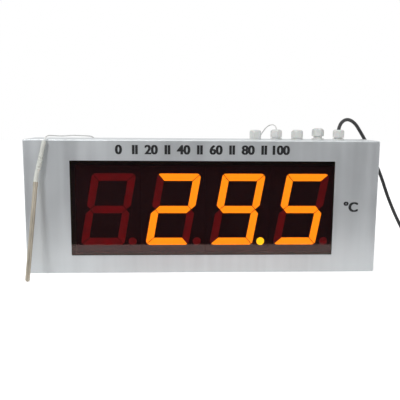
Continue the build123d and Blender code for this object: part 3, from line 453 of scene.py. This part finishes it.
def ribbon_sheath(name, colour):
    """Flat cable: one groove between each two wires, its colour darker in each groove as painted
    shade.
    """
    material, tree, shader = new_tree(name)
    waves = tree.nodes.new("ShaderNodeTexWave")
    waves.bands_direction = "X"
    waves.inputs["Scale"].default_value = 250.0
    link(tree, place_in_object(tree), waves.inputs["Vector"])
    # Painted shade: the colour darkens into each groove
    tone = colours(tree, waves.outputs["Fac"], shade(colour, 0.7), colour)
    link(tree, tone, shader.inputs["Base Color"])
    shader.inputs["Roughness"].default_value = 0.5
    bump(tree, shader, waves.outputs["Fac"], 0.0003, 0.7)
    return material


def cord_sheath(name, colour):
    """Black satin sheath of a mains lead, with a little dust and a soft sheen."""
    material, tree, shader = new_tree(name)
    dust = noise(tree, 180.0, 4.0)
    tone = colours(tree, dust, shade(colour, 0.7), shade(colour, 1.2), 0.35, 0.75)
    link(tree, tone, shader.inputs["Base Color"])
    link(tree, between(tree, dust, 0.42, 0.56), shader.inputs["Roughness"])
    shader.inputs["Coat Weight"].default_value = 0.05
    shader.inputs["Coat Roughness"].default_value = 0.3
    bump(tree, shader, noise(tree, 1200.0, 2.0), 0.00004, 0.4)
    return material


def drawn_tube(name, colour):
    """Drawn stainless tube, slightly tarnished, with fine lines round it."""
    material, tree, shader = new_tree(name)
    tarnish = noise(tree, 55.0, 4.0)
    link(tree, colours(tree, tarnish, shade(colour, 0.8), colour), shader.inputs["Base Color"])
    link(tree, between(tree, tarnish, 0.3, 0.42), shader.inputs["Roughness"])
    shader.inputs["Metallic"].default_value = 0.7
    bump(tree, shader, noise(tree, 1400.0, 2.0, (0.3, 0.3, 3.0)), 0.00002, 0.4)
    return material


def make_finishes(record):
    """One material for each of the record's slots, from the slot's own colour."""
    colour = {row["slot"]: tuple(row["base_color"][:3]) for row in record["materials"]}
    module = shade(colour["module_black"], MODULE_DARKENING)
    nylon = tint(colour["gland_white"], GLAND_TINT)
    return {
        "case_steel": satin_sheet("case_steel", tint(colour["case_steel"], CASE_TINT)),
        "cover_steel": satin_sheet("cover_steel", colour["cover_steel"]),
        "zinc_steel": bright_metal("zinc_steel", colour["zinc_steel"]),
        "filter_red": tinted_acrylic("filter_red"),
        "module_black": moulded("module_black", module, 0.7, specular=0.1),
        "bar_dim": dim_resin("bar_dim"),
        "bar_lit": lit_resin("bar_lit"),
        "board_green": solder_mask("board_green", colour["board_green"]),
        "chip_black": moulded("chip_black", colour["chip_black"], 0.6),
        "tinned": bright_metal("tinned", colour["tinned"], 0.2),
        "core_steel": laminated("core_steel", colour["core_steel"]),
        "winding_tape": moulded("winding_tape", colour["winding_tape"], 0.3, 400.0, 0.00006),
        "relay_blue": moulded("relay_blue", colour["relay_blue"], 0.3),
        "terminal_green": moulded("terminal_green", colour["terminal_green"], 0.4),
        "can_black": moulded("can_black", colour["can_black"], 0.3),
        "sink_aluminium": bright_metal("sink_aluminium", colour["sink_aluminium"], 0.35),
        "ribbon_grey": ribbon_sheath("ribbon_grey", colour["ribbon_grey"]),
        "gland_white": gland_nylon("gland_white", nylon),
        "cap_white": cap_nylon("cap_white", nylon),
        "seal_rubber": moulded("seal_rubber", colour["seal_rubber"], 0.6),
        "cord_black": cord_sheath("cord_black", colour["cord_black"]),
        "plug_black": moulded("plug_black", colour["plug_black"], 0.42, 900.0, 0.00005),
        "pin_brass": bright_metal("pin_brass", colour["pin_brass"], 0.22),
        "lead_grey": moulded("lead_grey", colour["lead_grey"], 0.45),
        "probe_steel": drawn_tube("probe_steel", tint(colour["probe_steel"], PROBE_TINT)),
        "sleeve_white": moulded("sleeve_white", tint(colour["sleeve_white"], SLEEVE_TINT), 0.5),
        "print_black": moulded("print_black", PRINT_COLOUR, 0.5),
    }


def dress(piece, material):
    """Gives every face of a piece one material."""
    if not piece.data.materials:
        piece.data.materials.append(material)
    for place in piece.material_slots:
        place.material = material


def dress_frame(frame, finishes):
    """Each CAD node takes the finish of its slot; the cap nuts take the smooth nylon."""
    for row in frame["record"]["subparts"]:
        slot = "cap_white" if row["node"].startswith("gland_nut") else row["material_slot"]
        dress(frame["nodes"][row["node"]], finishes[slot])


def add_piece(name, data, material, body="case"):
    """A new piece that rides on a body and takes its finish from a slot of the record."""
    piece = bpy.data.objects.new(name, data)
    bpy.context.scene.collection.objects.link(piece)
    dress(piece, material)
    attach(piece, body)
    return piece


def smooth_line(name, points, radius):
    """A round cord on a smooth spline whose control points are given in millimetres."""
    data = bpy.data.curves.new(name, "CURVE")
    data.dimensions = "3D"
    data.bevel_depth = radius * MM
    data.bevel_resolution = 5
    data.resolution_u = 8
    data.use_fill_caps = True
    spline = data.splines.new("NURBS")
    spline.points.add(len(points) - 1)
    for control, point in zip(spline.points, points):
        control.co = (*(Vector(point) * MM), 1.0)
    spline.order_u = 3
    spline.use_endpoint_u = True
    return data


def coil_points():
    """Two layers of turns beside each other: inwards on the table, then outwards on top of them."""
    first, second = COIL_LAYERS
    turns = [(radius, first) for radius in COIL_RADII]
    turns += [(radius, second) for radius in reversed(COIL_RADII)]
    reach = 1 / math.cos(math.pi / COIL_POINTS)
    total = round((len(turns) - 1 + COIL_LAST_TURN) * COIL_POINTS)
    points = []
    for step in range(1, total):
        turn = min(step // COIL_POINTS, len(turns) - 1)
        to_next = max(0, step - turn * COIL_POINTS - (COIL_POINTS - COIL_CROSSING)) / COIL_CROSSING
        radius, height = turns[turn]
        if turn + 1 < len(turns):
            radius += (turns[turn + 1][0] - radius) * to_next
            height += (turns[turn + 1][1] - height) * to_next
        angle = math.radians(90) - 2 * math.pi * (step - 0.5) / COIL_POINTS
        points.append((
            COIL_CENTRE[0] + radius * reach * math.cos(angle),
            COIL_CENTRE[1] + radius * reach * math.sin(angle),
            height,
        ))
    return points


def make_mains_cord(finishes):
    """The mains cord from its gland to its plug, with the tie that holds the coil."""
    points = [MAINS_START, *MAINS_ROUTE, *coil_points(), COIL_STUB_END]
    data = smooth_line("mains_lead", points, CORD_DIAMETER / 2)
    cord = add_piece("mains_lead", data, finishes["cord_black"])
    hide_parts("mains_cord", "mains_coil")
    tie = make_coil_tie(finishes)


def make_coil_tie(finishes):
    """A thin band round the section of the coil, lying across its turns."""
    half = CORD_DIAMETER / 2 + TIE_THICKNESS
    inner, outer = COIL_RADII[-1] - half, COIL_RADII[0] + half
    low, high = COIL_LAYERS[0] - half, COIL_LAYERS[1] + half
    corners = (
        (outer - half, low + half, -90), (outer - half, high - half, 0),
        (inner + half, high - half, 90), (inner + half, low + half, 180),
    )
    outline = []
    for across, up, start in corners:
        for step in range(TIE_CORNER_STEPS + 1):
            angle = math.radians(start + 90 / TIE_CORNER_STEPS * step)
            outline.append((across, up, math.cos(angle), math.sin(angle)))
    angle = math.radians(TIE_ANGLE)
    outwards = Vector((math.cos(angle), math.sin(angle), 0))
    sideways = Vector((-math.sin(angle), math.cos(angle), 0))
    centre = Vector((*COIL_CENTRE, 0))
    mesh = bmesh.new()
    rings = []
    for side, depth in ((-1, 0.0), (1, 0.0), (1, TIE_THICKNESS), (-1, TIE_THICKNESS)):
        ring = []
        for across, up, out_x, out_z in outline:
            reach = half - depth
            place = centre + outwards * (across + out_x * reach) + sideways * side * TIE_WIDTH / 2
            place.z = up + out_z * reach
            ring.append(mesh.verts.new(place * MM))
        rings.append(ring)
    for ring, following in zip(rings, rings[1:] + rings[:1]):
        for i in range(len(ring)):
            j = (i + 1) % len(ring)
            mesh.faces.new((ring[i], ring[j], following[j], following[i]))
    bmesh.ops.recalc_face_normals(mesh, faces=mesh.faces)
    data = bpy.data.meshes.new("coil_tie")
    mesh.to_mesh(data)
    mesh.free()
    return add_piece("coil_tie", data, finishes["plug_black"])


def make_sensor_lead(finishes):
    """The thin sensor lead, with the ribs on the sleeve of its probe."""
    sleeve_down = (PROBE_JOIN - PROBE_TOP).normalized()
    before_end = PROBE_TOP - sleeve_down * LEAD_END_RUN
    points = [LEAD_START, *LEAD_ROUTE, before_end, PROBE_TOP + sleeve_down]
    data = smooth_line("thin_lead", points, LEAD_DIAMETER / 2)
    lead = add_piece("thin_lead", data, finishes["lead_grey"])
    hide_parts("sensor_lead")
    ribs = make_sleeve_ribs(sleeve_down, finishes)


def make_sleeve_ribs(sleeve_down, finishes):
    """Rounded ribs round the lower middle of the sleeve, where it bends most."""
    half_profile = ((-0.5, 0.0), (-0.42, 0.6), (-0.2, 0.95))
    other_half = [(-along, height) for along, height in reversed(half_profile)]
    profile = (*half_profile, (0.0, 1.0), *other_half)
    rise = (RIB_DIAMETER - SLEEVE_DIAMETER) / 2
    core = SLEEVE_DIAMETER / 2 - RIB_SINK
    turn = sleeve_down.to_track_quat("Z", "Y")
    mesh = bmesh.new()
    for number in range(RIB_COUNT):
        middle = PROBE_TOP + sleeve_down * (FIRST_RIB + number * RIB_PITCH)
        rings = []
        for along, height in profile:
            radius = core + height * (rise + RIB_SINK)
            ring = []
            for i in range(RIB_SIDES):
                angle = 2 * math.pi * i / RIB_SIDES
                offset = Vector((
                    radius * math.cos(angle),
                    radius * math.sin(angle),
                    along * RIB_LENGTH,
                ))
                ring.append(mesh.verts.new((middle + turn @ offset) * MM))
            rings.append(ring)
        for ring, following in zip(rings, rings[1:]):
            for i in range(RIB_SIDES):
                j = (i + 1) % RIB_SIDES
                mesh.faces.new((ring[i], ring[j], following[j], following[i]))
        mesh.faces.new(rings[0])
        mesh.faces.new(rings[-1])
    bmesh.ops.recalc_face_normals(mesh, faces=mesh.faces)
    data = bpy.data.meshes.new("sleeve_ribs")
    mesh.to_mesh(data)
    mesh.free()
    data.shade_smooth()
    return add_piece("sleeve_ribs", data, finishes["sleeve_white"])


def print_words(name, words, height, place, finishes):
    """Bold printed characters centred on a place of the face, as two layers of ink side by side."""
    size = height / FONT_CAP_HEIGHT
    for layer, side in (("left", -1), ("right", 1)):
        data = bpy.data.curves.new(f"{name}_{layer}", "FONT")
        data.body = words
        data.size = size * MM
        data.align_x = "CENTER"
        data.align_y = "CENTER"
        data.offset = INK_SWELL * data.size
        thickness = PRINT_THICKNESS * (1 + PRINT_LAYER_STEP * side)
        data.extrude = thickness * MM / 2
        marks = add_piece(f"{name}_{layer}", data, finishes["print_black"])
        middle = Vector((place[0] + side * INK_SHIFT * size, FACE_Y - thickness / 2, place[1]))
        upright = Matrix.Rotation(math.radians(90), 4, "X")
        marks.matrix_world = Matrix.Translation(middle * MM) @ upright
        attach(marks, "case")


def add_print(finishes):
    """A plain number scale above the window, and the unit of temperature beside it."""
    spacing = SCALE_SPAN / SCALE_STEPS
    for number in range(SCALE_STEPS + 1):
        words = str(SCALE_VALUE * number)
        place = (SCALE_MIDDLE[0] + (number - SCALE_STEPS / 2) * spacing, SCALE_MIDDLE[1])
        print_words(f"scale_number_{number}", words, SCALE_HEIGHT, place, finishes)
    for number in range(SCALE_STEPS):
        place = (SCALE_MIDDLE[0] + (number + 0.5 - SCALE_STEPS / 2) * spacing, SCALE_MIDDLE[1])
        print_words(f"scale_ticks_{number}", "II", SCALE_HEIGHT, place, finishes)
    print_words("unit", "°C", UNIT_HEIGHT, UNIT_PLACE, finishes)


def add_camera():
    """The photograph's camera."""
    forward = Vector((
        math.sin(CAMERA_YAW) * math.cos(CAMERA_PITCH),
        math.cos(CAMERA_YAW) * math.cos(CAMERA_PITCH),
        math.sin(CAMERA_PITCH),
    ))
    level = Vector((math.cos(CAMERA_YAW), -math.sin(CAMERA_YAW), 0))
    above = level.cross(forward)
    right = math.cos(CAMERA_ROLL) * level + math.sin(CAMERA_ROLL) * above
    up = math.cos(CAMERA_ROLL) * above - math.sin(CAMERA_ROLL) * level
    data = bpy.data.cameras.new("camera")
    data.lens = CAMERA_LENS
    data.sensor_width = SENSOR_WIDTH
    camera = bpy.data.objects.new("camera", data)
    bpy.context.scene.collection.objects.link(camera)
    axes = Matrix((right, up, -forward)).transposed().to_4x4()
    camera.matrix_world = Matrix.Translation(CAMERA_PLACE) @ axes
    bpy.context.scene.camera = camera


def add_sheet_mesh(name, profile, half_width):
    """A stage sheet: a profile of (y, z) points in metres, drawn along X."""
    vertices = [(side * half_width, y, z) for y, z in profile for side in (-1, 1)]
    faces = [(2 * i, 2 * i + 1, 2 * i + 3, 2 * i + 2) for i in range(len(profile) - 1)]
    data = bpy.data.meshes.new(name)
    data.from_pydata(vertices, [], faces)
    sheet = bpy.data.objects.new(name, data)
    bpy.context.scene.collection.objects.link(sheet)
    return sheet


def seen_directly(tree):
    """1 for rays from the camera or through glass, and 1 for mirrored rays."""
    path = tree.nodes.new("ShaderNodeLightPath")
    through = path.outputs["Is Transmission Ray"]
    either = math_node(tree, "MAXIMUM", path.outputs["Is Camera Ray"], through)
    return either, path.outputs["Is Glossy Ray"]


def add_stage():
    """A white table that keeps the object's shadow, and a dark card that only the gloss reflects."""
    floor = add_sheet_mesh("floor", FLOOR_PROFILE, FLOOR_HALF_WIDTH)
    material, tree, shader = new_tree("floor_white")
    shader.inputs["Base Color"].default_value = FLOOR_COLOUR
    shader.inputs["Roughness"].default_value = 0.9
    shader.inputs["Specular IOR Level"].default_value = 0.0
    shader.inputs["Emission Color"].default_value = (1.0, 1.0, 1.0, 1.0)
    seen, mirrored = seen_directly(tree)
    away = tree.nodes.new("ShaderNodeVectorMath")
    away.operation = "LENGTH"
    link(tree, place_in_object(tree), away.inputs[0])
    distance = away.outputs["Value"]
    level = between(tree, distance, FLOOR_GLOW_NEAR, FLOOR_GLOW_FAR, *FLOOR_GLOW_REACH)
    in_mirrors = math_node(tree, "MULTIPLY", mirrored, FLOOR_GLOW_MIRRORED)
    glow = math_node(tree, "MAXIMUM", math_node(tree, "MULTIPLY", seen, level), in_mirrors)
    link(tree, glow, shader.inputs["Emission Strength"])
    dress(floor, material)

    card = add_sheet_mesh("dark_card", CARD_PROFILE, CARD_HALF_WIDTH)
    material, tree, shader = new_tree("card_black")
    shader.inputs["Base Color"].default_value = CARD_COLOUR
    shader.inputs["Roughness"].default_value = 1.0
    dress(card, material)
    card.visible_camera = False
    card.visible_diffuse = False
    card.visible_shadow = False


def add_lamp(name, place, size, power):
    """A square soft lamp turned to the middle of the case."""
    data = bpy.data.lights.new(name, "AREA")
    data.size = size
    data.energy = power
    lamp = bpy.data.objects.new(name, data)
    bpy.context.scene.collection.objects.link(lamp)
    turned = (Vector(LAMPS_AIM) - Vector(place)).to_track_quat("-Z", "Y")
    lamp.matrix_world = Matrix.Translation(place) @ turned.to_matrix().to_4x4()


def add_light():
    """Soft lamps from the left, from the right and from above, and a world that shows white."""
    for name, place, size, power in LAMPS:
        add_lamp(name, place, size, power)
    world = bpy.data.worlds.new("world")
    bpy.context.scene.world = world
    world.use_nodes = True
    tree = world.node_tree
    background = tree.nodes["Background"]
    background.inputs["Color"].default_value = (1.0, 1.0, 1.0, 1.0)
    seen, mirrored = seen_directly(tree)
    softer = math_node(tree, "MULTIPLY", mirrored, WORLD_MIRRORED_SHARE)
    added = math_node(tree, "MULTIPLY", math_node(tree, "MAXIMUM", seen, softer), WORLD_SEEN)
    strength = math_node(tree, "ADD", added, WORLD_LIGHT)
    link(tree, strength, background.inputs["Strength"])


def main():
    """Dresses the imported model, adds what only the looks need, and sets the camera and the light."""
    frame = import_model()
    bpy.context.scene.view_settings.view_transform = "Standard"
    finishes = make_finishes(frame["record"])
    add_camera()
    make_mains_cord(finishes)
    make_sensor_lead(finishes)
    dress_frame(frame, finishes)
    add_print(finishes)
    add_stage()
    add_light()


main()
